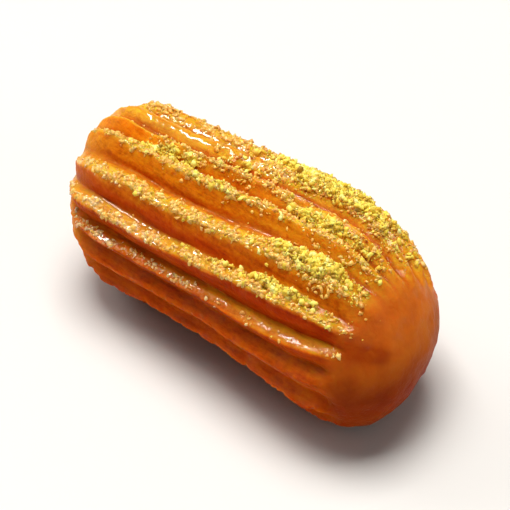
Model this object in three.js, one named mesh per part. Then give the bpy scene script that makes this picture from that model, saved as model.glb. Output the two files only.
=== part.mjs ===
// Tulumba: one finger of fluted choux dough, fried and soaked in syrup.
// Millimetres, +Z up. The long axis runs along X, from the blunt tail (-X) to the smooth dome (+X).
// The origin is under the middle of the piece, on the flat where it has settled on its underside.
import * as THREE from 'three';

// --- Driving dimensions ---------------------------------------------------------------------
const LENGTH = 64;
const TAIL_RADIUS = 13.7; // crest radius at the tail's shoulder
const DOME_RADIUS = 15.2; // crest radius where the dome starts
const TAIL_CAP = 11; // length of the tail's rounding
const DOME_CAP = 15; // length of the dome
const TAIL_BLUNTNESS = 2.3; // 2 is an ellipse, more is squarer
const DOME_BLUNTNESS = 2.1;
const SLANT_ANGLE = 132; // degrees from the top, the side that lies furthest towards the dome
const TAIL_SLANT = 0.22; // slope of the tail's cut
const DOME_SLANT = 0.27;

const RIDGES = 18;
const RIDGE_DEPTH = 2.1; // crest to groove
const RIDGE_SHARPNESS = 0.93; // 0 is a cosine wave, 1 is a sharp triangle wave
const RIDGE_TWIST = 10; // degrees that the ridges swing round towards the dome
const TWIST_START = 22; // stations between which they swing
const TWIST_END = 63;
const DOME_SMOOTH = 3.5; // the last stretch of the dome, which has no ridges
const DOME_FADE = 5; // stretch over which the ridges run out before it
const PUCKER_RADIUS = 6; // inside this radius the tail's ridges run together

const CROWD_ANGLE = 40; // degrees from the top where the ridges are spread widest
const CROWD_SHIFT = 4.5; // degrees that the ridges beside it are pushed aside
const CROWD_WAVES = 4.7; // how quickly that push swings round
const CROWD_WIDTH = 50; // degrees over which it dies out

const RIDGE_UNEVENNESS = 0.16; // crest heights differ by this much from ridge to ridge
// Slow swells of the whole piece: lobes around it, radians they drift from tail to dome, height.
const SWELLS = [
  { lobes: 2, drift: 5, height: 0.15 },
  { lobes: 1, drift: -9, height: 0.1 },
];
const WAIST_DEPTH = 1.1; // hollow along the middle of one lower side
const WAIST_ANGLE = 125; // degrees from the top
const WAIST_STATION = 30;
const WAIST_LENGTH = 15;
const PUCKER_DEPTH = 1.2; // dimple in the middle of the tail
const REST_FLAT = 1.3; // how far the underside has settled flat

// --- Mesh resolution ------------------------------------------------------------------------
const POINTS_PER_RIDGE = 6;
const TAIL_RINGS = 10;
const BODY_RINGS = 11;
const DOME_RINGS = 10;
const POINTS_AROUND = RIDGES * POINTS_PER_RIDGE;

const { PI, sin, cos, asin, exp } = Math;
const GOLDEN_ANGLE = PI * (3 - Math.sqrt(5));
const { lerp, smoothstep, degToRad } = THREE.MathUtils;

/**
 * Stations along the piece, denser round both ends, without the two tips.
 * @returns {number[]} distances from the tail's tip
 */
function stations() {
  const capStep = (index, count) => sin((index / count) * (PI / 2));
  const list = [];
  for (let i = 1; i <= TAIL_RINGS; i += 1) {
    list.push(TAIL_CAP * (1 - capStep(TAIL_RINGS - i, TAIL_RINGS)));
  }
  const bodyLength = LENGTH - TAIL_CAP - DOME_CAP;
  for (let i = 1; i <= BODY_RINGS; i += 1) {
    list.push(TAIL_CAP + (bodyLength * i) / BODY_RINGS);
  }
  for (let i = 1; i < DOME_RINGS; i += 1) {
    list.push(LENGTH - DOME_CAP * (1 - capStep(i, DOME_RINGS)));
  }
  return list;
}

/** Radius over the crests of the body at a station, as if it had no rounded ends. */
function bodyRadius(along) {
  return lerp(TAIL_RADIUS, DOME_RADIUS, smoothstep(along, 0, LENGTH - DOME_CAP));
}

/** Share of the body's radius that the rounded ends leave at a station: 1 between them. */
function endRounding(along) {
  const round = (depth, bluntness) => (1 - depth ** bluntness) ** (1 / bluntness);
  const intoTail = (TAIL_CAP - along) / TAIL_CAP;
  const intoDome = (along - LENGTH + DOME_CAP) / DOME_CAP;
  if (intoTail > 0) return round(intoTail, TAIL_BLUNTNESS);
  if (intoDome > 0) return round(intoDome, DOME_BLUNTNESS);
  return 1;
}

/** Share of the full ridge depth: none on the dome's cap, little in the middle of the tail. */
function ridgeStrength(along, crestRadius) {
  const fadeEnd = LENGTH - DOME_SMOOTH;
  const onDome = 1 - smoothstep(along, fadeEnd - DOME_FADE, fadeEnd);
  const onTail = smoothstep(crestRadius, 0, PUCKER_RADIUS * 2);
  return onDome * onTail;
}

/**
 * Height of a ridge's flank, as a wave with a rounded crest and groove.
 * @param {number} phase turns from one crest to the next, 0 on a crest
 * @returns {number} 1 on the crest and 0 in the groove
 */
function ridgeProfile(phase) {
  const wave = asin(RIDGE_SHARPNESS * cos(2 * PI * phase)) / asin(RIDGE_SHARPNESS);
  return (1 + wave) / 2;
}

/** Degrees by which a ridge at this angle is pushed aside by its neighbours. */
function crowding(angle) {
  const signed = ((angle + 540) % 360) - 180;
  const offset = signed - CROWD_ANGLE;
  return CROWD_SHIFT * sin(degToRad(CROWD_WAVES * offset)) * exp(-((offset / CROWD_WIDTH) ** 2));
}

/** Crest height of one ridge compared with the mean, in -1 to 1, uneven but repeatable. */
function ridgeCharacter(ridge) {
  return sin(ridge * GOLDEN_ANGLE);
}

/** Height of the slow swells of the whole piece at an angle and a station. */
function swell(angle, along) {
  const phase = ({ lobes, drift }) => lobes * degToRad(angle) + (drift * along) / LENGTH;
  return SWELLS.reduce((sum, wave) => sum + wave.height * sin(phase(wave)), 0);
}

/** Depth of the hollow in one lower side, which falls in under the body's own weight. */
function waist(angle, along) {
  const facing = Math.max(0, cos(degToRad(angle - WAIST_ANGLE)));
  return WAIST_DEPTH * facing ** 2 * exp(-(((along - WAIST_STATION) / WAIST_LENGTH) ** 2));
}

/** The point of the surface on one of the lines that run along the piece, at a station. */
function surfacePoint(line, along) {
  const ridge = Math.round(line / POINTS_PER_RIDGE);
  const evenAngle = (line / POINTS_AROUND) * 360;
  const twist = -RIDGE_TWIST * smoothstep(along, TWIST_START, TWIST_END);
  const angle = evenAngle + crowding(evenAngle) + twist;

  const rounding = endRounding(along);
  const crestRadius = bodyRadius(along) * rounding;
  const slant = lerp(TAIL_SLANT, DOME_SLANT, along / LENGTH) * cos(degToRad(angle - SLANT_ANGLE));
  const x = along + slant * crestRadius;
  const strength = ridgeStrength(x, crestRadius);
  const groove = RIDGE_DEPTH * (1 - ridgeProfile(line / POINTS_PER_RIDGE)) * strength;
  const character = RIDGE_UNEVENNESS * ridgeCharacter(ridge % RIDGES) * strength;
  const relief = character + swell(angle, along) - groove - waist(angle, along);
  const radius = (bodyRadius(along) + relief) * rounding;

  const pucker = along < TAIL_CAP ? PUCKER_DEPTH * (1 - smoothstep(radius, 0, PUCKER_RADIUS)) : 0;
  const turn = degToRad(angle);
  return new THREE.Vector3(x + pucker, -radius * sin(turn), bodyRadius(along) + radius * cos(turn));
}

/** The tips of the piece, where all its lines meet. */
function tipPoint(along, pucker) {
  return new THREE.Vector3(along + pucker, 0, bodyRadius(along));
}

/**
 * Triangles of a closed skin of rings between two tips.
 * Vertex 0 is the tail's tip, then come the rings, and the dome's tip is last.
 */
function skinTriangles(ringCount) {
  const triangles = [];
  const vertex = (ring, line) => 1 + ring * POINTS_AROUND + (line % POINTS_AROUND);
  const lastTip = 1 + ringCount * POINTS_AROUND;
  for (let line = 0; line < POINTS_AROUND; line += 1) {
    triangles.push(0, vertex(0, line + 1), vertex(0, line));
    for (let ring = 0; ring + 1 < ringCount; ring += 1) {
      const [a, b] = [vertex(ring, line), vertex(ring, line + 1)];
      const [c, d] = [vertex(ring + 1, line), vertex(ring + 1, line + 1)];
      triangles.push(a, b, c, b, d, c);
    }
    triangles.push(lastTip, vertex(ringCount - 1, line), vertex(ringCount - 1, line + 1));
  }
  return triangles;
}

/** Lays the underside flat and moves the piece so that the flat's middle is the origin. */
function settle(points) {
  const box = new THREE.Box3().setFromPoints(points);
  const floor = box.min.z + REST_FLAT;
  const middle = box.getCenter(new THREE.Vector3());
  for (const point of points) {
    point.z = Math.max(point.z, floor) - floor;
    point.x -= middle.x;
    point.y -= middle.y;
  }
}

/** The whole piece of dough as one closed geometry. */
function doughGeometry() {
  const rings = stations();
  const points = [tipPoint(0, PUCKER_DEPTH)];
  for (const along of rings) {
    for (let line = 0; line < POINTS_AROUND; line += 1) {
      points.push(surfacePoint(line, along));
    }
  }
  points.push(tipPoint(LENGTH, 0));
  settle(points);

  const geometry = new THREE.BufferGeometry().setFromPoints(points);
  geometry.setIndex(skinTriangles(rings.length));
  geometry.computeVertexNormals();
  return geometry;
}

const syrupedDough = new THREE.MeshStandardMaterial({
  color: 0xc9640f,
  roughness: 0.32,
  metalness: 0,
});

const tulumba = new THREE.Mesh(doughGeometry(), syrupedDough);
tulumba.name = 'fried_dough';

const part = new THREE.Group();
part.name = 'tulumba';
part.add(tulumba);

export default part;
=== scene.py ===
"""Looks of a tulumba: a fluted finger of fried choux dough, soaked in syrup, with ground pistachio.

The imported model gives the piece's box and its frame. Metres, +Z up, +X towards the smooth dome.
"""

from __future__ import annotations

import logging
import math
from dataclasses import dataclass, fields
from enum import Enum
from typing import Any, Sequence, Union

import bpy
from bpy.types import Material, Mesh, Node, NodeSocket, NodeTree, Object
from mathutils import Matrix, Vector


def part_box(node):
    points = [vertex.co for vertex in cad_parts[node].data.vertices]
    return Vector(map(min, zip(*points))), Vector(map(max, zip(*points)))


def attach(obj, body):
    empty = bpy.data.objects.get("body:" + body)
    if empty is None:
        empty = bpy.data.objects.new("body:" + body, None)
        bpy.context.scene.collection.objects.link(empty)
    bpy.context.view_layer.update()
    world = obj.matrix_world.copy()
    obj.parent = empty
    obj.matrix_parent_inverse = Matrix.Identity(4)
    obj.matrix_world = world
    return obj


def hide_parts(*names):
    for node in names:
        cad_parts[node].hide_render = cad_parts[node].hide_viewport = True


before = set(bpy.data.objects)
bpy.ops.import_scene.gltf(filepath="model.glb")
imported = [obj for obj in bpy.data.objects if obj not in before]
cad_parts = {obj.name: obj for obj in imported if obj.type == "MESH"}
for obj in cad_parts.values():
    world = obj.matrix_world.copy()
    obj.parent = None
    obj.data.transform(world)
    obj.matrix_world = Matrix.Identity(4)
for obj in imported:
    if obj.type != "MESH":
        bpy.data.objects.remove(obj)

LOG = logging.getLogger("tulumba")
MM = 0.001
DEGREE = math.pi / 180
FULL_TURN = 360.0
HALF_TURN = 180.0
GOLDEN_ANGLE = math.pi * (3 - math.sqrt(5))
DOUGH_NODE = "fried_dough"
BODY = "root"

# How far apart neighbouring ridges read the noise that sways them and the noise that wears them.
SWAY_LANE = 37 * MM
WEAR_LANE = 23 * MM
WEAR_SLICE = 7 * MM
# How far the edges of the patches fray, round in degrees and along, and how wide the frays are.
FRAY_TURN = 9.0
FRAY_LENGTH = 11 * MM
FRAY_WIDTH = 5 * MM
# Points closer than this are one point, where the grid's edges meet and at the tips.
WELD = 0.001 * MM
# The share of a heap's height that leans outwards, for its grains and for its bed.
HEAP_LEAN = 0.7
BED_LEAN = 0.6
# The least and the greatest sides of a chip of nut, as shares of the grain size.
LEAST_CHIP = (0.8, 0.55, 0.35)
GREATEST_CHIP = (1.5, 1.05, 0.8)
# How many waves of the noise that chips a grain fit across it.
CHIP_WAVES = 1.6

Number = Union["Value", float]
Triple = tuple[float, float, float]
Colour = Triple


# --- Node trees ---


class Value:
    """A socket of a node tree. Arithmetic on it adds Math nodes to that tree."""

    def __init__(self, graph: Graph, socket: NodeSocket) -> None:
        """Keeps the socket and the graph that it belongs to."""
        self.graph = graph
        self.socket = socket

    def math(self, operation: str, *others: Number) -> Value:
        """Adds one Math node on this and the others, and returns its result."""
        return self.graph.math(operation, self, *others)

    def __add__(self, other: Number) -> Value:
        """Sum."""
        return self.math("ADD", other)

    def __sub__(self, other: Number) -> Value:
        """Difference."""
        return self.math("SUBTRACT", other)

    def __rsub__(self, other: Number) -> Value:
        """Difference, with this on the right."""
        return self.graph.math("SUBTRACT", other, self)

    def __mul__(self, other: Number) -> Value:
        """Product."""
        return self.math("MULTIPLY", other)

    def __truediv__(self, other: Number) -> Value:
        """Quotient."""
        return self.math("DIVIDE", other)

    def __rtruediv__(self, other: Number) -> Value:
        """Quotient, with this on the right."""
        return self.graph.math("DIVIDE", other, self)

    def __pow__(self, other: Number) -> Value:
        """Power."""
        return self.math("POWER", other)

    def sin(self) -> Value:
        """Sine of an angle in radians."""
        return self.math("SINE")

    def cos(self) -> Value:
        """Cosine of an angle in radians."""
        return self.math("COSINE")

    def bell(self, middle: Number, width: Number) -> Value:
        """A bell curve that is 1 at the middle and dies out over the width."""
        offset = (self - middle) / width
        return (offset * offset * -1.0).math("EXPONENT")

    def step(self, low: Number, high: Number) -> Value:
        """A smooth step, which leaves 0 at the low end and reaches 1 at the high one."""
        inputs = {"Value": self, "From Min": low, "From Max": high}
        return self.graph.result("ShaderNodeMapRange", inputs, "Result", interpolation_type="SMOOTHSTEP")


class Graph:
    """A node tree that is being built."""

    def __init__(self, tree: NodeTree) -> None:
        """Keeps the tree."""
        self.tree = tree

    def plug(self, socket: NodeSocket, value: Any) -> None:
        """Links a value of this tree into a socket, or sets the socket to a constant.

        Args:
            socket: the input.
            value: the value or the constant.
        """
        if isinstance(value, Value):
            self.tree.links.new(value.socket, socket)
        else:
            socket.default_value = value

    def node(self, kind: str, inputs: dict[Any, Any] | None = None, **settings: Any) -> Node:
        """Adds a node.

        Args:
            kind: the node's type.
            inputs: what goes into its sockets, by name or by place.
            settings: the node's own properties.

        Returns:
            The new node.
        """
        node = self.tree.nodes.new(kind)
        for name, setting in settings.items():
            setattr(node, name, setting)
        for key, value in (inputs or {}).items():
            self.plug(node.inputs[key], value)
        return node

    def value(self, node: Node, output: str | int = 0) -> Value:
        """One output of a node, as a value."""
        return Value(self, node.outputs[output])

    def result(
        self, kind: str, inputs: dict[Any, Any] | None = None, output: str | int = 0, **settings: Any
    ) -> Value:
        """Adds a node, as node() does, and returns one of its outputs."""
        return self.value(self.node(kind, inputs, **settings), output)

    def math(self, operation: str, *operands: Number) -> Value:
        """Adds one Math node and returns its result."""
        return self.result("ShaderNodeMath", dict(enumerate(operands)), operation=operation)

    def mix(self, factor: Number, low: Number, high: Number) -> Value:
        """Blends two numbers."""
        return self.result("ShaderNodeMix", {"Factor": factor, "A": low, "B": high}, "Result")

    def vector(self, x: Number, y: Number, z: Number) -> Value:
        """Puts three numbers together as a vector."""
        return self.result("ShaderNodeCombineXYZ", {"X": x, "Y": y, "Z": z})

    def split(self, vector: Value) -> tuple[Value, Value, Value]:
        """Takes a vector apart into its three numbers."""
        node = self.node("ShaderNodeSeparateXYZ", {"Vector": vector})
        return tuple(self.value(node, axis) for axis in "XYZ")

    def vector_math(self, operation: str, *operands: Any) -> Value:
        """Adds one Vector Math node and returns its result."""
        return self.result("ShaderNodeVectorMath", dict(enumerate(operands)), operation=operation)

    def scaled(self, vector: Value, factor: Number) -> Value:
        """A vector times a number."""
        inputs = {"Vector": vector, "Scale": factor}
        return self.result("ShaderNodeVectorMath", inputs, operation="SCALE")

    def noise(self, vector: Value, size: float, detail: float = 2.0, rough: float = 0.5) -> Value:
        """Smooth noise in 0 to 1, by the width of its spots in metres, its finer layers and their share."""
        inputs = {"Vector": vector, "Scale": 1.0 / size, "Detail": detail, "Roughness": rough}
        return self.result("ShaderNodeTexNoise", inputs)

    def ramp(self, factor: Number, stops: Sequence[tuple[float, Colour]]) -> Value:
        """Colours along a ramp.

        Args:
            factor: the place on the ramp.
            stops: places in 0 to 1, each with its colour.

        Returns:
            The colour.
        """
        node = self.node("ShaderNodeValToRGB", {"Fac": factor})
        elements = node.color_ramp.elements
        while len(elements) < len(stops):
            elements.new(1.0)
        for element, (place, colour) in zip(elements, stops):
            element.position = place
            element.color = (*colour, 1.0)
        return self.value(node, "Color")

    def blend(self, factor: Number, low: Any, high: Any, mode: str = "MIX") -> Value:
        """Blends two colours.

        Args:
            factor: how much of the second colour there is.
            low: the first colour.
            high: the second colour.
            mode: Blender's name of the way to blend.

        Returns:
            The blended colour.
        """
        node = self.node("ShaderNodeMix", data_type="RGBA", blend_type=mode)
        self.plug(node.inputs[0], factor)
        for socket, colour in zip((node.inputs[6], node.inputs[7]), (low, high)):
            self.plug(socket, colour if isinstance(colour, Value) else (*colour, 1.0))
        return self.value(node, 2)


def added(name: str, data: Any) -> Object:
    """Makes an object and puts it in the scene.

    Args:
        name: the object's name.
        data: its mesh, light or camera.

    Returns:
        The object.
    """
    thing = bpy.data.objects.new(name, data)
    bpy.context.scene.collection.objects.link(thing)
    return thing


def label(name: str) -> str:
    """A field's name as the label of a socket."""
    return name.replace("_", " ").title()


@dataclass
class Shape(Graph):
    """A Geometry Nodes tree that makes one piece, and has an input for each number among its fields."""

    name: str

    def __post_init__(self) -> None:
        """Makes the tree and its inputs."""
        super().__init__(bpy.data.node_groups.new(self.name, "GeometryNodeTree"))
        face = self.tree.interface
        face.new_socket("Geometry", in_out="OUTPUT", socket_type="NodeSocketGeometry")
        face.new_socket("Geometry", in_out="INPUT", socket_type="NodeSocketGeometry")
        finish = face.new_socket("Finish", in_out="INPUT", socket_type="NodeSocketMaterial")
        self.finish_key = finish.identifier
        self.given: dict[str, float] = {}
        for size in fields(self):
            number = getattr(self, size.name)
            if isinstance(number, (int, float)):
                kind = "NodeSocketInt" if isinstance(number, int) else "NodeSocketFloat"
                socket = face.new_socket(label(size.name), in_out="INPUT", socket_type=kind)
                self.given[socket.identifier] = number
        self.source = self.node("NodeGroupInput")

    def size(self, name: str) -> Value:
        """The input that holds a size."""
        return self.value(self.source, label(name))

    def named(self, attribute: str) -> Value:
        """A number stored on the geometry, by name."""
        return self.result("GeometryNodeInputNamedAttribute", {"Name": attribute}, "Attribute")

    def position(self) -> Value:
        """Where each point is."""
        return self.result("GeometryNodeInputPosition")

    def normal(self) -> Value:
        """Which way each point faces."""
        return self.result("GeometryNodeInputNormal")

    def stored(
        self, geometry: Value, attribute: str, value: Value, domain: str = "POINT", kind: str = "FLOAT"
    ) -> Value:
        """Stores a value on the geometry as a named attribute of a domain and a data type."""
        inputs = {"Geometry": geometry, "Name": attribute, "Value": value}
        return self.result("GeometryNodeStoreNamedAttribute", inputs, data_type=kind, domain=domain)

    def moved(self, geometry: Value, **where: Value) -> Value:
        """Moves the points of the geometry, to a Position or by an Offset."""
        return self.result("GeometryNodeSetPosition", {"Geometry": geometry, **where})

    def raised(self, geometry: Value, normal: Value, height: Value, lean: float) -> Value:
        """Moves the points of the geometry outwards and upwards.

        Args:
            geometry: what to move.
            normal: which way is outwards.
            height: how far to move it, in metres.
            lean: the share of the height that goes outwards. The rest goes straight up.

        Returns:
            The moved geometry.
        """
        leaning = self.scaled(normal, height * lean)
        rising = self.vector(0.0, 0.0, height * (1.0 - lean))
        return self.moved(geometry, Offset=self.vector_math("ADD", leaning, rising))

    def mesh(self, geometry: Value, finish: Material, base: Mesh | None = None) -> Object:
        """Ends the tree, runs it and keeps its result as a plain mesh, shaded smooth.

        Args:
            geometry: the tree's result.
            finish: the material of the piece.
            base: the mesh that the tree starts from, if it needs one. It is used up.

        Returns:
            The object, at the origin, with no modifier.
        """
        smooth = self.result("GeometryNodeSetShadeSmooth", {"Geometry": geometry})
        real = self.result("GeometryNodeRealizeInstances", {"Geometry": smooth})
        material = self.value(self.source, "Finish")
        dressed = self.result("GeometryNodeSetMaterial", {"Geometry": real, "Material": material})
        self.node("NodeGroupOutput", {"Geometry": dressed})

        start = base or bpy.data.meshes.new(self.name + "_start")
        maker = added(self.name + "_maker", start)
        modifier = maker.modifiers.new("Shape", "NODES")
        modifier.node_group = self.tree
        modifier[self.finish_key] = finish
        for key, number in self.given.items():
            modifier[key] = number
        graph = bpy.context.evaluated_depsgraph_get()
        made = bpy.data.meshes.new_from_object(maker.evaluated_get(graph))
        made.name = self.name
        bpy.data.objects.remove(maker)
        bpy.data.meshes.remove(start)
        return added(self.name, made)


# --- The dough ---


@dataclass(frozen=True)
class Patch:
    """A soft-edged patch of the skin.

    Angles are degrees round from the top towards -Y, before the ridges swing round.
    Stations are millimetres from the tail's tip.
    """

    angle: float
    station: float
    half_angle: float
    half_length: float
    amount: float


# Where ground nut has gathered against a ridge.
DRIFTS = (
    Patch(33.8, 50, 4.9, 9.5, 1.05),
    Patch(52, 48, 3.3, 7.5, 1.1),
    Patch(37, 22, 3.5, 7, 0.35),
    Patch(53, 33, 3.5, 8, 0.5),
    Patch(8, 49, 5.5, 9, 1.1),
    Patch(15, 30, 4, 12, 0.25),
    Patch(20, 29, 2.5, 9, 0.65),
    Patch(5, 20, 4, 5, 0.75),
    Patch(-20, 47, 5, 9, 1.1),
    Patch(-14, 31, 3, 7, 0.6),
    Patch(-36, 43, 6, 15, 0.95),
    Patch(-53, 40, 6, 14, 0.85),
    Patch(-72, 34, 6, 12, 0.6),
    Patch(12, 16, 5, 12, 0.6),
)
# Where the sprinkling has mostly missed the dough.
MISSES = (
    Patch(-5, 7, 15, 7, 0.8),
    Patch(-21, 14, 6.5, 11, 1.1),
    Patch(-4, 49, 4.5, 10, 0.9),
    Patch(-12, 49, 3, 10, 0.8),
    Patch(23, 48, 3.5, 12, 0.9),
    Patch(7, 31, 6, 7, 0.8),
    Patch(1, 13, 4, 8, 0.5),
    Patch(-3, 13, 3.5, 8, 0.6),
    Patch(27, 20, 4.5, 22, 1),
    Patch(31, 14, 2.8, 9, 1.1),
    Patch(9, 30, 2.5, 8, 0.5),
    Patch(1, 49, 3, 9, 0.7),
    Patch(-21, 29, 3, 8, 0.7),
    Patch(71.5, 35, 5, 30, 1.3),
    Patch(78, 32, 4, 30, 0.8),
    Patch(76, 49, 2.6, 8, 0.45),
    Patch(-24, 22, 6, 9, 0.6),
    Patch(46, 30, 4, 26, 0.9),
    Patch(-46, 12, 6, 10, 0.7),
    Patch(-66, 45, 7, 14, 0.7),
    Patch(30, 4, 34, 4.5, 0.5),
    Patch(14, 58, 4, 4, 0.6),
)
# Where a ridge has been pushed aside while it was soft, with the amounts in degrees.
NUDGES = (
    Patch(60, 42, 9, 17, -2.6),
    Patch(78, 42, 7, 15, 1),
    Patch(78, 12, 6, 8, 1.6),
    Patch(-17, 15, 13, 10, 5.6),
    Patch(36, 4, 8, 5, 3.5),
)
# Where the dough is painted darker: painted shade under crests and in folds, and browning from frying.
SHADE_AND_BROWNING = (
    Patch(68, 59.5, 13, 2.6, 1),
    Patch(98, 60, 20, 4, 0.35),
    Patch(71.5, 38, 3, 22, 0.25),
    Patch(61, 48, 3, 12, 0.4),
    Patch(4, 30, 4, 7, 0.5),
    Patch(-10, 30, 3, 22, 0.5),
    Patch(84, 30, 6, 10, 0.6),
    Patch(76, 49, 3.5, 9, 0.6),
    Patch(-19, 30, 3, 10, 0.35),
    Patch(45, 49, 3, 9, 0.7),
    Patch(25, 49, 3, 8, 0.4),
)
# Where the ridges have slumped and are shallower.
SLUMPS = (
    Patch(-13, 13, 11, 10, 0.34),
    Patch(-62, 26, 9, 12, 0.25),
)
# Where clear syrup lies smooth along a flank.
SHEENS = (
    Patch(-16, 15.5, 3.2, 9, 1.2),
    Patch(-62, 26, 3.2, 10, 0.9),
)
# Where syrup has pooled on a crest and set with crumbs in it, and where pale glints are painted on as
# highlights.
GLAZES = (
    Patch(54, 16, 4, 10, 1.5),
    Patch(75.5, 48, 2.8, 10, 0.1),
    Patch(75.5, 27, 2.8, 7, 0.7),
    Patch(76.5, 12, 2.8, 8, 0.6),
    Patch(38, 9, 3, 5, 0.3),
    Patch(-57, 18, 4, 9, 0.9),
    Patch(-78, 40, 4, 11, 0.9),
)


@dataclass
class FlutedDough(Shape):
    """The one piece of dough: a fluted barrel with a blunt tail and a smooth dome."""

    name: str = "syruped_dough"
    length: float = 64 * MM
    tail_radius: float = 13.7 * MM
    dome_radius: float = 15.2 * MM
    tail_cap: float = 11 * MM
    dome_cap: float = 15 * MM
    tail_bluntness: float = 2.3
    dome_bluntness: float = 2.1
    slant_angle: float = 132.0
    tail_slant: float = 0.22
    dome_slant: float = 0.27
    dome_press: float = 0.17
    press_angle: float = 190.0
    ridges: int = 18
    ridge_depth: float = 2.1 * MM
    ridge_sharpness: float = 0.96
    ridge_lean: float = 0.12
    ridge_twist: float = 10.0
    twist_start: float = 22 * MM
    twist_end: float = 63 * MM
    dome_smooth: float = 3.5 * MM
    dome_fade: float = 5 * MM
    pucker_radius: float = 6 * MM
    pucker_depth: float = 1.2 * MM
    crowd_angle: float = 40.0
    crowd_shift: float = 4.5
    crowd_waves: float = 4.7
    crowd_width: float = 50.0
    ridge_unevenness: float = 0.16 * MM
    waist_depth: float = 1.1 * MM
    waist_angle: float = 125.0
    waist_station: float = 30 * MM
    waist_length: float = 15 * MM
    rest_flat: float = 1.3 * MM
    ridge_wander: float = 2.6
    crest_wear: float = 0.42 * MM
    lump_height: float = 0.2 * MM
    blister_height: float = 0.09 * MM
    streak_height: float = 0.09 * MM
    tear_depth: float = 0.24 * MM
    bead_height: float = 0.12 * MM
    dome_sag: float = 0.5 * MM
    drift_fill: float = 0.35
    drift_height: float = 0.6 * MM
    points_around: int = 360
    points_along: int = 270
    swells: tuple[Triple, ...] = ((2.0, 5.0, 0.15 * MM), (1.0, -9.0, 0.1 * MM))

    def build(self, finish: Material) -> Object:
        """Makes the piece and puts it in the place of the plain solid.

        Args:
            finish: the material of the syruped dough.

        Returns:
            The finished piece.
        """
        skin, angle, along = self._grid()
        skin = self._settle(self._form(skin, angle, along))
        piece = self.mesh(self._dusting(self._relief(skin)), finish)
        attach(piece, BODY)
        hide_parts(DOUGH_NODE)
        return piece

    def _grid(self) -> tuple[Value, Value, Value]:
        """Makes a flat grid, which also serves as the skin's UV map.

        Returns:
            The grid, and the angle in degrees and the station in metres of each of its points.
        """
        rows, columns = self.size("points_along"), self.size("points_around")
        inputs = {"Size X": 1.0, "Size Y": 1.0, "Vertices X": columns + 1, "Vertices Y": rows + 1}
        grid = self.node("GeometryNodeMeshGrid", inputs)
        x, y, _ = self.split(self.position())
        chart = self.stored(
            self.value(grid, "Mesh"), "OFBake", self.value(grid, "UV Map"), domain="CORNER", kind="FLOAT2"
        )
        return chart, (x + 0.5) * FULL_TURN, self._station(y + 0.5)

    def _station(self, run: Value) -> Value:
        """Spaces the rows along the piece, denser round both ends.

        Args:
            run: the share of the rows, in 0 to 1.

        Returns:
            The distance from the tail's tip.
        """
        length, tail, dome = self.size("length"), self.size("tail_cap"), self.size("dome_cap")
        tail_share, dome_share = 0.24, 0.29
        quarter = math.pi / 2
        into_tail = (1.0 - run / tail_share).math("MAXIMUM", 0.0)
        into_dome = ((run - (1.0 - dome_share)) / dome_share).math("MAXIMUM", 0.0)
        middle = (run - tail_share) / (1.0 - tail_share - dome_share)
        middle = middle.math("MAXIMUM", 0.0).math("MINIMUM", 1.0)
        tail_part = tail * (1.0 - (into_tail * quarter).sin())
        return tail_part + middle * (length - tail - dome) + dome * (into_dome * quarter).sin()

    def _form(self, skin: Value, even: Value, along: Value) -> Value:
        """Bends the grid into the fluted barrel and notes on it what the finish needs.

        Args:
            skin: the flat grid.
            even: the angle of each point, in degrees.
            along: the station of each point, in metres.

        Returns:
            The closed barrel.
        """
        size = self.size
        length = size("length")
        signed = (even + (FULL_TURN + HALF_TURN)).math("FLOORED_MODULO", FULL_TURN) - HALF_TURN
        ridge = (even * size("ridges") / FULL_TURN).math("ROUND").math("FLOORED_MODULO", size("ridges"))
        phase = even * size("ridges") * DEGREE

        away = signed - size("crowd_angle")
        push = size("crowd_shift") * (size("crowd_waves") * away * DEGREE).sin()
        crowding = push * away.bell(0.0, size("crowd_width"))
        twist = size("ridge_twist") * along.step(size("twist_start"), size("twist_end")) * -1.0
        wander_place = self.vector(along, ridge * SWAY_LANE, 0.0)
        wander = (self.noise(wander_place, 8 * MM, 2.5) - 0.5) * size("ridge_wander") * 2.0
        angle = even + crowding + twist

        widening = along.step(0.0, length - size("dome_cap"))
        radius = self.mix(widening, size("tail_radius"), size("dome_radius"))
        rounding = self._rounding(along)
        crest_radius = radius * rounding
        slant = self.mix(along / length, size("tail_slant"), size("dome_slant"))
        slant = slant * ((angle - size("slant_angle")) * DEGREE).cos()
        pressed = ((angle - size("press_angle")) * DEGREE).cos().math("MAXIMUM", 0.0)
        slant = slant - size("dome_press") * pressed * pressed * along.step(length - size("dome_cap"), length)
        x = along + slant * crest_radius
        fade_end = length - size("dome_smooth")
        on_dome = x.step(fade_end - size("dome_fade"), fade_end)
        strength = (1.0 - on_dome) * crest_radius.step(0.0, size("pucker_radius") * 2.0)

        sharp = size("ridge_sharpness")
        lean = size("ridge_lean") * (angle * DEGREE).sin() * (1.0 - phase.cos()) * math.pi
        wave = (sharp * (phase - lean).cos()).math("ARCSINE") / sharp.math("ARCSINE")
        profile = (wave + 1.0) / 2.0
        filled = self._patches(signed, along, DRIFTS).math("MINIMUM", 1.0) * size("drift_fill")
        filled = filled.math("MAXIMUM", self._patches(signed, along, SLUMPS))
        groove = size("ridge_depth") * (1.0 - profile) * (1.0 - filled) * strength
        character = size("ridge_unevenness") * (ridge * GOLDEN_ANGLE).sin() * strength * profile
        wear_place = self.vector(along, ridge * WEAR_LANE, WEAR_SLICE)
        worn = self.noise(wear_place, 3.2 * MM, 3.0, 0.6).step(0.42, 0.75)
        wear = size("crest_wear") * worn * profile**4.0 * strength
        swell = 0.0
        for lobes, drift, height in self.swells:
            swell = (angle * (lobes * DEGREE) + along * drift / length).sin() * height + swell
        facing = ((angle - size("waist_angle")) * DEGREE).cos().math("MAXIMUM", 0.0)
        hollow = along.bell(size("waist_station"), size("waist_length"))
        waist = size("waist_depth") * facing * facing * hollow
        final_radius = (radius + character + swell - groove - wear - waist) * rounding

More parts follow.
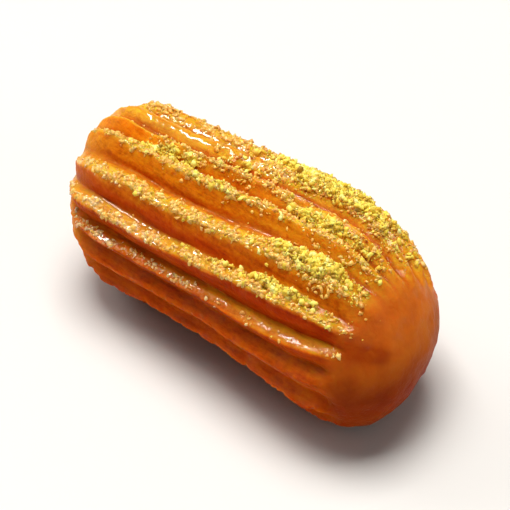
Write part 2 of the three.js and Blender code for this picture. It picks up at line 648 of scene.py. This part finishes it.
        pinch = (1.0 - final_radius.step(0.0, size("pucker_radius"))) * size("pucker_depth")
        pinch = pinch * along.math("LESS_THAN", size("tail_cap"))
        nudge = self._patches(signed, along, NUDGES)
        turn = (angle + (wander + nudge) * strength) * DEGREE
        place = self.vector(x + pinch, final_radius * turn.sin() * -1.0, radius + final_radius * turn.cos())

        sway = {"Vector": place, "Scale": 1.0 / FRAY_WIDTH, "Detail": 2.0}
        sway_round, sway_along, _ = self.split(self.result("ShaderNodeTexNoise", sway, "Color"))
        frayed = signed + (sway_round - 0.5) * FRAY_TURN
        frayed_along = along + (sway_along - 0.5) * FRAY_LENGTH
        for name, note in {
            "profile": profile,
            "strength": strength,
            "dome": on_dome,
            "along": along / length,
            "drift": self._patches(frayed, frayed_along, DRIFTS),
            "missed": self._patches(frayed, frayed_along, MISSES),
            "glaze": self._patches((frayed + signed * 2.0) / 3.0, frayed_along, GLAZES),
            "sheen": self._patches(signed, along, SHEENS),
            "browning": self._patches(frayed, frayed_along, SHADE_AND_BROWNING),
            "open": (angle * DEGREE).cos(),
        }.items():
            skin = self.stored(skin, name, note)
        skin = self.moved(skin, Position=place)
        return self.result("GeometryNodeMergeByDistance", {"Geometry": skin, "Distance": WELD})

    def _rounding(self, along: Value) -> Value:
        """Share of the radius that the rounded ends leave.

        Args:
            along: the station, in metres.

        Returns:
            The share, which is 1 between the ends.
        """
        size = self.size
        into_tail = ((size("tail_cap") - along) / size("tail_cap")).math("MAXIMUM", 0.0)
        dome_start = size("length") - size("dome_cap")
        into_dome = ((along - dome_start) / size("dome_cap")).math("MAXIMUM", 0.0).math("MINIMUM", 1.0)
        shares = []
        for depth, bluntness in ((into_tail, size("tail_bluntness")), (into_dome, size("dome_bluntness"))):
            shares.append((1.0 - depth**bluntness).math("MAXIMUM", 0.0) ** (1.0 / bluntness))
        return shares[0] * shares[1]

    def _patches(self, signed: Value, along: Value, patches: Sequence[Patch]) -> Value:
        """Adds up soft-edged patches.

        Args:
            signed: the angle round from the top, in degrees.
            along: the station, in metres.
            patches: what to add up.

        Returns:
            Their sum at each point, in 0 to about 1.
        """
        total: Number = 0.0
        for patch in patches:
            across = signed.bell(patch.angle, patch.half_angle)
            lengthwise = along.bell(patch.station * MM, patch.half_length * MM)
            total = across * lengthwise * patch.amount + total
        return total

    def _settle(self, skin: Value) -> Value:
        """Lays the underside flat and moves the flat's middle to the origin.

        Args:
            skin: the barrel.

        Returns:
            The settled barrel.
        """
        box = self.node("GeometryNodeBoundBox", {"Geometry": skin})
        low = self.split(self.value(box, "Min"))
        high = self.split(self.value(box, "Max"))
        x, y, z = self.split(self.position())
        floor = low[2] + self.size("rest_flat")
        height = (z - floor).math("MAXIMUM", 0.0)
        middle_x = (low[0] + high[0]) / 2.0
        middle_y = (low[1] + high[1]) / 2.0
        return self.moved(skin, Position=self.vector(x - middle_x, y - middle_y, height))

    def _relief(self, skin: Value) -> Value:
        """Raises the skin's fine relief.

        Args:
            skin: the settled barrel.

        Returns:
            The skin with its own relief.
        """
        size = self.size
        position, normal = self.position(), self.normal()
        x, y, z = self.split(position)
        clear = z.step(0.0, 1.2 * MM)
        fluted = self.named("strength")
        crest = self.named("profile") ** 3.0

        lump = (self.noise(position, 4.5 * MM, 2.0) - 0.5) * size("lump_height") * 2.0
        stretched = self.vector(x * 0.16, y, z)
        streak = (self.noise(stretched, 0.9 * MM, 3.0, 0.6) - 0.5) * size("streak_height") * 2.0
        pinched = self.vector(x, y * 0.3, z * 0.3)
        torn = self.noise(pinched, 0.9 * MM, 3.0, 0.6).step(0.5, 0.72)
        tear = torn * crest * size("tear_depth") * -1.0
        cells = {"Vector": position, "Scale": 1.0 / (1.3 * MM), "Smoothness": 0.6}
        from_middle = self.result("ShaderNodeTexVoronoi", cells, "Distance", feature="SMOOTH_F1")
        bubble = 1.0 - from_middle.step(0.05, 0.55)
        patches = self.noise(position, 6 * MM, 1.0).step(0.5, 0.7)
        blister = bubble * patches * size("blister_height")
        bead = self.noise(position, 0.8 * MM, 1.0).step(0.45, 0.75)
        set_syrup = self.named("glaze") * bead * size("bead_height")
        sag = (self.noise(position, 3.4 * MM, 1.0) - 0.5) * size("dome_sag") * (1.0 - fluted)
        level = 1.0 - self.named("sheen").math("MINIMUM", 1.0) * 0.9
        relief = ((lump + (streak + tear) * fluted + blister) * level + set_syrup + sag) * clear
        _, _, up = self.split(normal)
        on_crest = self.named("profile").step(0.2, 0.5) * up.step(0.1, 0.4)
        short_of_dome = 1.0 - self.named("along").step(0.84, 0.91)
        skin = self.stored(skin, "glazed", self.named("glaze") * on_crest * short_of_dome)
        skin = self.stored(skin, "facing", up)
        return self.moved(skin, Offset=self.scaled(normal, relief))

    def _dusting(self, skin: Value) -> Value:
        """Notes where ground nut lies, thinly or in heaps, and raises its bed.

        Args:
            skin: the skin with its own relief.

        Returns:
            The skin with the attributes "powder" and "dusted" in 0 to 1, and the raised bed.
        """
        size = self.size
        position, normal = self.position(), self.normal()
        _, _, up = self.split(normal)
        length_share = self.named("along")
        onto_ends = length_share.step(0.84, 0.96) + 1.0 - length_share.step(-0.02, 0.2)
        open_sky = self.named("open").step(0.18, 0.6)

        ragged = (self.noise(position, 1.3 * MM, 3.0, 0.65) - 0.5) * 1.1
        gathered = self.named("drift") - self.named("missed") * 0.6 + ragged
        heap = gathered.step(0.3, 0.8) * up.step(0.2, 0.6) * (1.0 - length_share.step(0.9, 0.95))
        skin = self.stored(skin, "powder", heap)
        patch = self.noise(position, 1.8 * MM, 4.0, 0.7).step(0.35, 0.66)
        lying = up.step(0.42, 0.88) * open_sky * (patch * 0.9 + 0.08)
        lying = lying * (self.named("profile").step(0.25, 0.65) * 0.92 + 0.08)
        coated = self.named("glaze") * 0.7 + self.named("sheen") * 1.2
        missed = (self.named("missed") * 0.9 + coated).math("MINIMUM", 1.0)
        skin = self.stored(skin, "dusted", lying * (1.0 - onto_ends) * (1.0 - missed))

        clump = self.noise(position, 1.5 * MM, 1.0).step(0.35, 0.65)
        grain = self.noise(position, 0.6 * MM, 2.0, 0.7) * 0.9 + clump * 0.7
        film = self.named("dusted") * 0.45
        piled = self.named("powder").math("MAXIMUM", film) * grain * size("drift_height")
        return self.raised(skin, normal, piled, BED_LEAN)


# --- Ground pistachio ---


class Soak(Enum):
    """How far the syrup has got into the ground nut."""

    DRY = "dry"
    WET = "wet"
    GLAZED = "glazed"


@dataclass
class NutScatter(Shape):
    """One kind of ground nut, strewn over the dough.

    The shares say how much of it goes on the heaps, on the dusted crests and into the set syrup,
    and how much of the dusting is left towards the tail.
    """

    soak: Soak
    seed: int
    grain_size: float
    size_spread: float
    per_square_metre: float
    heap_share: float = 0.0
    dusted_share: float = 0.0
    glazed_share: float = 0.0
    tail_share: float = 1.0
    lift: float = 0.0
    sink: float = 0.02 * MM
    raggedness: float = 0.6
    roundness: int = 1

    def build(self, dough: Object, finish: Material) -> Object:
        """Strews the grains over the dough.

        Args:
            dough: the piece that they lie on.
            finish: the material of the grains.

        Returns:
            One plain mesh of all the grains.
        """
        size = self.size
        thinned = self.mix(self.named("along").step(0.2, 0.65), size("tail_share"), 1.0)
        dusting = self.named("dusted") * size("dusted_share") * thinned
        amount = self.named("powder") * size("heap_share") + self.named("glazed") * size("glazed_share")
        cluster = self.noise(self.position(), 1.9 * MM, 3.0, 0.65).step(0.42, 0.64)
        amount = (amount + dusting) * (cluster * 1.6 + 0.2)
        strewn = self.node(
            "GeometryNodeDistributePointsOnFaces",
            {
                "Mesh": self.value(self.source, "Geometry"),
                "Density": amount * size("per_square_metre"),
                "Seed": size("seed"),
            },
        )
        pile = self.named("powder") * size("lift") * self._chance(4)
        points, normal = self.value(strewn, "Points"), self.value(strewn, "Normal")
        points = self.raised(points, normal, pile - size("sink"), HEAP_LEAN)
        inputs = {"Radius": size("grain_size") / 2.0, "Subdivisions": size("roundness")}
        instances = self.result(
            "GeometryNodeInstanceOnPoints",
            {
                "Points": points,
                "Instance": self.result("GeometryNodeMeshIcoSphere", inputs, "Mesh"),
                "Rotation": self._random((0.0, 0.0, 0.0), (math.tau, math.tau, math.tau), 1),
                "Scale": self._scale(),
            },
        )
        tinted = self.stored(instances, "tint", self._chance(5), domain="INSTANCE")
        loose = self.result("GeometryNodeRealizeInstances", {"Geometry": tinted})
        piece = self.mesh(self._chipped(loose), finish, dough.data.copy())
        forget(piece, LAYERS)
        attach(piece, BODY)
        return piece

    def _random(self, low: Triple, high: Triple, salt: int) -> Value:
        """A random vector for each grain. The salt keeps the draw apart from the others."""
        inputs = {0: low, 1: high, "Seed": self.size("seed") + salt}
        return self.result("FunctionNodeRandomValue", inputs, data_type="FLOAT_VECTOR")

    def _chance(self, salt: int) -> Value:
        """A random number in 0 to 1 for each grain. The salt keeps the draw apart from the others."""
        inputs = {"Seed": self.size("seed") + salt}
        return self.result("FunctionNodeRandomValue", inputs, 1, data_type="FLOAT")

    def _scale(self) -> Value:
        """Sizes each grain as a lopsided chip, with few large ones.

        Returns:
            The grain's scale.
        """
        spread, chance = self.size("size_spread"), self._chance(2)
        overall = (1.0 - spread) + chance * chance * spread * 2.0
        return self.scaled(self._random(LEAST_CHIP, GREATEST_CHIP, 3), overall)

    def _chipped(self, grains: Value) -> Value:
        """Chips each of the plain round grains into a shape of its own.

        Args:
            grains: the plain round grains.

        Returns:
            The chipped grains.
        """
        inputs = {"Vector": self.position(), "Scale": CHIP_WAVES / self.grain_size, "Detail": 1.0}
        noise = self.result("ShaderNodeTexNoise", inputs, "Color")
        centred = self.vector_math("SUBTRACT", noise, (0.5, 0.5, 0.5))
        reach = self.size("grain_size") * self.size("raggedness") * 2.0
        return self.moved(grains, Offset=self.scaled(centred, reach))


# --- Finishes ---


@dataclass
class Finish(Graph):
    """A material that is being built round one Principled BSDF."""

    name: str

    def __post_init__(self) -> None:
        """Makes the material and its shader."""
        self.material = bpy.data.materials.new(self.name)
        self.material.use_nodes = True
        super().__init__(self.material.node_tree)
        self.tree.nodes.clear()
        self.shader = self.node("ShaderNodeBsdfPrincipled")
        self.node("ShaderNodeOutputMaterial", {"Surface": self.value(self.shader)})

    def set(self, **inputs: Any) -> None:
        """Sets or links the shader's sockets, named with underscores for spaces."""
        for name, value in inputs.items():
            self.plug(self.shader.inputs[name.replace("_", " ")], value)

    def place(self) -> Value:
        """The point on the surface, in metres."""
        return self.result("ShaderNodeTexCoord", output="Object")

    def note(self, name: str) -> Value:
        """A number stored on the mesh."""
        return self.result("ShaderNodeAttribute", output="Fac", attribute_name=name)

    def group(self, tree: NodeTree, inputs: dict[str, Any]) -> Node:
        """Places a shared node group, with what goes into its sockets by name, and returns its node."""
        return self.node("ShaderNodeGroup", inputs, node_tree=tree)

    def bump(self, height: Value, strength: float, distance: float, **under: Value) -> Value:
        """Bumps the surface by a relief in 0 to 1, its strength, its depth and the Normal under it."""
        inputs = {"Height": height, "Strength": strength, "Distance": distance, **under}
        return self.result("ShaderNodeBump", inputs, "Normal")


# The shades of ground pistachio, from the crumbs of its skin to its heart.
NUT_SHADES = (
    (0.0, (0.42, 0.23, 0.006)),
    (0.2, (0.74, 0.47, 0.018)),
    (0.5, (1.0, 0.76, 0.07)),
    (0.8, (1.0, 0.89, 0.14)),
    (1.0, (1.0, 0.96, 0.32)),
)


def nut_meat() -> NodeTree:
    """Builds the shared look of ground pistachio.

    Returns:
        A shader node group: a tint in 0 to 1 and a place give the colour and the height of its grain.
    """
    tree = bpy.data.node_groups.new("Nut meat", "ShaderNodeTree")
    for way, name, kind in (
        ("INPUT", "Tint", "Float"),
        ("INPUT", "Place", "Vector"),
        ("OUTPUT", "Colour", "Color"),
        ("OUTPUT", "Grain", "Float"),
    ):
        tree.interface.new_socket(name, in_out=way, socket_type="NodeSocket" + kind)
    graph = Graph(tree)
    source = graph.node("NodeGroupInput")
    tint, place = graph.value(source, "Tint"), graph.value(source, "Place")
    grain = graph.noise(place, 0.18 * MM, 2.0, 0.6)
    colour = graph.ramp(tint + (grain - 0.5) * 0.35, NUT_SHADES)
    graph.node("NodeGroupOutput", {"Colour": colour, "Grain": grain})
    return tree


@dataclass
class SyrupedDough(Finish):
    """Fried dough soaked in syrup: translucent amber with a thin glaze, with painted shade in the grooves and
    near the floor and painted highlights on the crests.
    """

    name: str = "Syruped dough"
    # Painted light and shade for the ridges high on the piece: from faces turned down, painted darker, to
    # faces turned up, painted lighter.
    upper: tuple[Colour, ...] = (
        (0.46, 0.042, 0.0003),
        (0.54, 0.047, 0.0003),
        (0.62, 0.074, 0.0005),
        (0.80, 0.235, 0.004),
        (0.68, 0.32, 0.012),
    )
    # Painted shade for the ridges near the floor: the same change with the facing, but darker and redder
    # throughout.
    lower: tuple[Colour, ...] = (
        (0.44, 0.056, 0.0003),
        (0.56, 0.080, 0.0004),
        (0.62, 0.095, 0.0005),
        (0.64, 0.105, 0.001),
        (0.66, 0.125, 0.002),
    )
    # Painted highlight along the crests.
    crest: Colour = (0.74, 0.25, 0.010)
    # Painted shade in the grooves.
    groove: Colour = (0.50, 0.060, 0.0006)
    # Painted shade under the piece.
    belly: Colour = (0.28, 0.045, 0.0006)
    dome: Colour = (0.67, 0.152, 0.009)
    # Painted shade on the dome near the floor.
    dome_low_shade: Colour = (0.27, 0.029, 0.0003)
    # Painted light on the tail's upward faces.
    tail: Colour = (0.86, 0.38, 0.03)
    # A painted highlight: pale cream glints on the set syrup.
    glint: Colour = (1.0, 0.66, 0.40)
    # Darker tint for painted shade and browning.
    scorch: Colour = (0.66, 0.42, 0.3)
    caramel: Colour = (0.72, 0.55, 0.5)
    amber: Colour = (1.12, 1.4, 1.6)
    soaked_nut: Colour = (0.95, 0.42, 0.07)

    def build(self, nut: NodeTree) -> Material:
        """Builds the material.

        Args:
            nut: the shared look of ground pistachio, which shows where it has heaped up.

        Returns:
            The material.
        """
        place = self.place()
        powder, dusted = self.note("powder"), self.note("dusted")
        fine = self.noise(place, 0.7 * MM, 3.0, 0.6)
        skin = self._skin(place, fine)

        speck = self.noise(place, 0.5 * MM, 2.0, 0.7)
        stuck = (speck + dusted * 0.5 - 0.3).step(0.3, 0.45) * dusted.step(0.06, 0.45)
        heap = self.group(nut, {"Tint": self.noise(place, 0.6 * MM, 2.0, 0.7) * 0.7, "Place": place})
        ground = self.value(heap, "Colour")
        skin = self.blend(stuck * 0.65, skin, self.blend(0.6, ground, self.soaked_nut))
        cover = powder.step(0.2, 0.7)
        colour = self.blend(cover, skin, self.blend(0.4, ground, self.soaked_nut))

        facing, glaze = self.note("facing"), self.note("glaze")
        crest = self.note("profile").step(0.7, 0.95) * facing.step(0.2, 0.6)
        patch = self.noise(place, 2.5 * MM, 2.0).step(0.4, 0.65)
        film = facing.step(0.3, 0.8) * (patch * 0.5 + 0.2) + 0.01
        thin = 1.0 - self.note("missed").math("MINIMUM", 1.0) * 0.7
        pooled = glaze * 1.2 + self.note("sheen")
        glossy = (crest * patch * 0.6 + film) * thin + pooled
        wet = (1.0 - cover) * glossy.math("MINIMUM", 1.0)
        rough = self.mix(cover, fine * 0.3 + 0.3, 0.8)
        smooth = 1.0 - glaze.math("MINIMUM", 1.0) * 0.8
        dimples = self.bump(fine * smooth, 0.8, 0.25 * MM)
        normal = self.bump(self.value(heap, "Grain") * cover, 0.6, 0.2 * MM, Normal=dimples)
        self.set(Base_Color=colour, Roughness=rough, Normal=normal, IOR=1.4, Specular_IOR_Level=0.04)
        self.set(Coat_Weight=wet, Coat_Roughness=0.09, Coat_IOR=1.5)
        self.set(Subsurface_Weight=0.75, Subsurface_Radius=(1.0, 0.25, 0.06), Subsurface_Scale=2.8 * MM)
        return self.material

    def _skin(self, place: Value, fine: Value) -> Value:
        """Colours the bare dough, with painted light and shade: lighter on faces turned up and on the ridges
        high on the piece, darker and redder near the floor and in the grooves, with painted highlights on the
        crests and the tail.

        Args:
            place: the point on the surface.
            fine: fine noise there.

        Returns:
            The colour.
        """
        x, y, height = self.split(place)
        blotch = self.noise(place, 9 * MM, 3.0, 0.6)
        ragged = height + (blotch - 0.5) * (4 * MM)
        grain = self.noise(self.vector(x * 0.18, y, height), 1.1 * MM, 4.0, 0.65)
        # Painted light and shade: faces turned up are painted lighter and faces turned down darker, and the
        # ridges near the floor darker still.
        facing = self.note("facing") + (fine - 0.5) * 0.25 + (blotch - 0.5) * 0.3
        raised = (height + (blotch - 0.5) * (5 * MM)).step(14 * MM, 22 * MM)
        ridges = []
        for shades in (self.lower, self.upper):
            stops = tuple(zip((0.25, 0.5, 0.6, 0.75, 0.95), shades))
            ridges.append(self.ramp(facing * 0.5 + 0.5, stops))
        fluted = self.blend(raised, *ridges)
        profile = self.note("profile") + (fine - 0.5) * 0.1
        # Painted shade: the grooves that open upwards are painted darker and redder.
        groove_shade = (1.0 - profile.step(0.05, 0.42)) * self.note("open").step(0.3, 0.8)
        fluted = self.blend(groove_shade * 0.75, fluted, self.groove)
        # Painted highlight: the crests are painted lighter, more so on the ridges high on the piece.
        fluted = self.blend(profile.step(0.86, 1.0) * (raised * 0.4 + 0.1), fluted, self.crest)
        # Painted highlight: pale glints speckled over the set syrup on the crests and their near flanks.
        glints = self.noise(place, 0.7 * MM, 2.0, 0.6).step(0.43, 0.58) * self.note("glaze")
        fluted = self.blend(glints * profile.step(0.35, 0.75) * 0.6, fluted, self.glint)
        # Painted shade: the dome is painted darker towards the floor.
        domed = self.blend(ragged.step(9 * MM, 20 * MM), self.dome_low_shade, self.dome)
        plain = (1.0, 1.0, 1.0)
        cooking = grain + (fine - 0.5) * 0.35
        cooked = self.ramp(cooking, ((0.3, self.caramel), (0.5, plain), (0.7, self.amber)))
        fluted = self.blend(1.0, fluted, cooked, "MULTIPLY")
        mottle = self.noise(place, 4.5 * MM, 3.0, 0.6)
        browned = self.ramp(mottle, ((0.35, self.caramel), (0.52, plain), (0.7, self.amber)))
        domed = self.blend(0.4, domed, self.blend(1.0, domed, browned, "MULTIPLY"))
        # Painted light: the tail's faces that turn upwards are painted lighter and more golden.
        lit_tail = (1.0 - self.note("along").step(0.03, 0.18)) * facing.step(-0.4, 0.5)
        fluted = self.blend(lit_tail * 0.5, fluted, self.tail)
        skin = self.blend(self.note("dome"), fluted, domed)
        # Painted shade and browning: these patches are painted darker.
        shaded_and_scorched = self.note("browning").math("MINIMUM", 1.0)
        skin = self.blend(shaded_and_scorched, skin, self.blend(1.0, skin, self.scorch, "MULTIPLY"))
        # Painted shade: the skin is painted darker close to the floor.
        low = 1.0 - ragged.step(1 * MM, 10 * MM)
        return self.blend(low * 0.8, skin, self.belly)


@dataclass
class GroundNut(Finish):
    """Ground pistachio, dry on the heaps and amber where the syrup has soaked it."""

    soak: Soak

    def build(self, nut: NodeTree) -> Material:
        """Builds the material.

        Args:
            nut: the shared look of ground pistachio.

        Returns:
            The material.
        """
        place = self.place()
        meat = self.group(nut, {"Tint": self.note("tint"), "Place": place})
        colour = self.value(meat, "Colour")
        normal = self.bump(self.value(meat, "Grain"), 0.5, 0.08 * MM)
        if self.soak is Soak.WET:
            colour = self.blend(0.68, colour, (1.0, 0.43, 0.088))
            self.set(Roughness=0.4, Coat_Weight=0.35, Coat_Roughness=0.12, Subsurface_Weight=0.4)
        elif self.soak is Soak.GLAZED:
            colour = self.blend(0.75, colour, (1.0, 0.56, 0.30))
            self.set(Roughness=0.25, Coat_Weight=1.0, Coat_Roughness=0.06, Subsurface_Weight=0.5)
        else:
            self.set(Roughness=0.7, Coat_Weight=0.08, Coat_Roughness=0.2, Subsurface_Weight=0.15)
        self.set(Base_Color=colour, Normal=normal)
        self.set(Subsurface_Radius=(1.0, 0.7, 0.25), Subsurface_Scale=0.4 * MM)
        return self.material


# --- Studio ---


@dataclass
class Studio:
    """A pale floor, soft light from behind and above, and the camera."""

    azimuth: float = 42.5
    elevation: float = 41.0
    distance: float = 0.78
    frame_width: float = 0.074
    floor_width: float = 12.0
    light_distance: float = 1.3

    def build(self, low: Vector, high: Vector) -> None:
        """Makes the whole studio round the piece.

        Args:
            low: the lowest corner of the piece's box.
            high: its highest corner.
        """
        self._floor()
        self._lights()
        self._camera((low + high) / 2)
        bpy.context.scene.view_settings.view_transform = "Standard"

    def _floor(self) -> None:
        """A plain pale floor."""
        mesh = bpy.data.meshes.new("floor")
        half = self.floor_width / 2
        corners = [(-half, -half, 0), (half, -half, 0), (half, half, 0), (-half, half, 0)]
        mesh.from_pydata(corners, [], [(0, 1, 2, 3)])
        floor = added("floor", mesh)
        finish = Finish("Pale floor")
        finish.set(Base_Color=(0.76, 0.75, 0.73, 1.0), Roughness=0.6)
        mesh.materials.append(finish.material)

    def _area(
        self, name: str, turn: float, rise: float, sides: Sequence[float], power: float, colour: Colour
    ) -> Object:
        """Makes a soft box, which faces the piece and isn't seen by the camera.

        Args:
            name: the light's name.
            turn: degrees round from the camera.
            rise: degrees above the floor.
            sides: its level side and its other side, in metres.
            power: its power, in watts.
            colour: its colour.

        Returns:
            The light.
        """
        place = self._around(self.azimuth + turn, rise, self.light_distance)
        data = bpy.data.lights.new(name, "AREA")
        data.shape = "RECTANGLE"
        data.size, data.size_y = sides
        data.energy = power
        data.color = colour
        light = added(name, data)
        light.location = place
        light.rotation_euler = (-place).to_track_quat("-Z", "Y").to_euler()
        light.visible_camera = False
        return light

    def _around(self, azimuth: float, elevation: float, distance: float) -> Vector:
        """Finds a place round the piece.

        Args:
            azimuth: degrees round from -Y towards +X.
            elevation: degrees above the floor.
            distance: metres from the piece.

        Returns:
            The place.
        """
        turn, rise = math.radians(azimuth), math.radians(elevation)
        flat = math.cos(rise)
        return Vector((math.sin(turn) * flat, -math.cos(turn) * flat, math.sin(rise))) * distance

    def _lights(self) -> None:
        """Lights the piece from nearly overhead and from both ends, with a window for the gloss."""
        self._area("key", 200, 80, (0.8, 0.8), 20.0, (1.0, 0.97, 0.93))
        pale = (1.0, 0.98, 0.95)
        for fill in (
            self._area("dome_fill", 45, 26, (0.7, 0.7), 1.6, pale),
            self._area("tail_fill", -130, 35, (0.7, 0.7), 4.0, pale),
        ):
            fill.visible_glossy = False
        window = self._area("window", -140, 59, (0.2, 0.45), 13.0, (1.0, 0.97, 0.92))
        window.visible_diffuse = False
        world = bpy.data.worlds.new("Studio")
        world.use_nodes = True
        sky = world.node_tree.nodes["Background"]
        sky.inputs["Color"].default_value = (1.0, 0.99, 0.97, 1.0)
        sky.inputs["Strength"].default_value = 0.15
        bpy.context.scene.world = world

    def _camera(self, middle: Vector) -> None:
        """Makes the camera.

        Args:
            middle: the middle of the piece, which it looks at.
        """
        data = bpy.data.cameras.new("camera")
        data.sensor_width = 36.0
        data.lens = data.sensor_width * self.distance / self.frame_width
        data.clip_start = 0.01
        data.clip_end = 100.0
        camera = added("camera", data)
        offset = self._around(self.azimuth, self.elevation, self.distance)
        camera.location = middle + offset
        camera.rotation_euler = (-offset).to_track_quat("-Z", "Y").to_euler()
        bpy.context.scene.camera = camera


# --- The whole piece ---

# The layers that the dough hands on to the grains that lie on it.
LAYERS = (
    "profile strength dome along drift missed glaze sheen browning open glazed facing powder dusted OFBake id"
).split()


def scatters() -> tuple[NutScatter, ...]:
    """The kinds of ground nut, in the order in which they are strewn."""
    return (
        NutScatter(
            "dry_nut_grains", Soak.DRY, seed=11, grain_size=0.80 * MM, size_spread=0.55,
            per_square_metre=1.45e7, heap_share=1.0, dusted_share=0.12, tail_share=0.25, lift=0.5 * MM,
        ),
        NutScatter(
            "fine_nut_dust", Soak.DRY, seed=23, grain_size=0.32 * MM, size_spread=0.4,
            per_square_metre=3.0e7, heap_share=0.7, dusted_share=0.25, tail_share=0.5, lift=0.5 * MM,
        ),
        NutScatter(
            "wet_nut_grains", Soak.WET, seed=37, grain_size=0.70 * MM, size_spread=0.5,
            per_square_metre=1.9e7, heap_share=0.08, dusted_share=0.9, glazed_share=0.1, lift=0.15 * MM,
        ),
        NutScatter(
            "glazed_crumbs", Soak.GLAZED, seed=53, grain_size=0.60 * MM, size_spread=0.5,
            per_square_metre=0.9e7, glazed_share=1.0, lift=0.1 * MM, sink=0.05 * MM,
        ),
    )


def forget(piece: Object, layers: Sequence[str]) -> None:
    """Removes layers of a mesh that have done their work.

    Args:
        piece: whose mesh it is.
        layers: the names of the layers, which needn't all be there.
    """
    attributes = piece.data.attributes
    for name in layers:
        if name in attributes:
            attributes.remove(attributes[name])


def report(piece: Object) -> None:
    """Logs a piece and how many triangles it has."""
    triangles = sum(len(face.vertices) - 2 for face in piece.data.polygons)
    LOG.info("%s: %d triangles", piece.name, triangles)


def main() -> None:
    """Builds the piece, its nut dust and the studio, in that order."""
    logging.basicConfig(level=logging.INFO, format="%(name)s %(message)s")
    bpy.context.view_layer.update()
    nut = nut_meat()
    dough = FlutedDough().build(SyrupedDough().build(nut))
    report(dough)
    finishes = {soak: GroundNut("Ground nut " + soak.value, soak).build(nut) for soak in Soak}
    for scatter in scatters():
        report(scatter.build(dough, finishes[scatter.soak]))
    forget(dough, ("strength", "drift", "glazed"))
    Studio().build(*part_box(DOUGH_NODE))


if __name__ == "__main__":
    main()
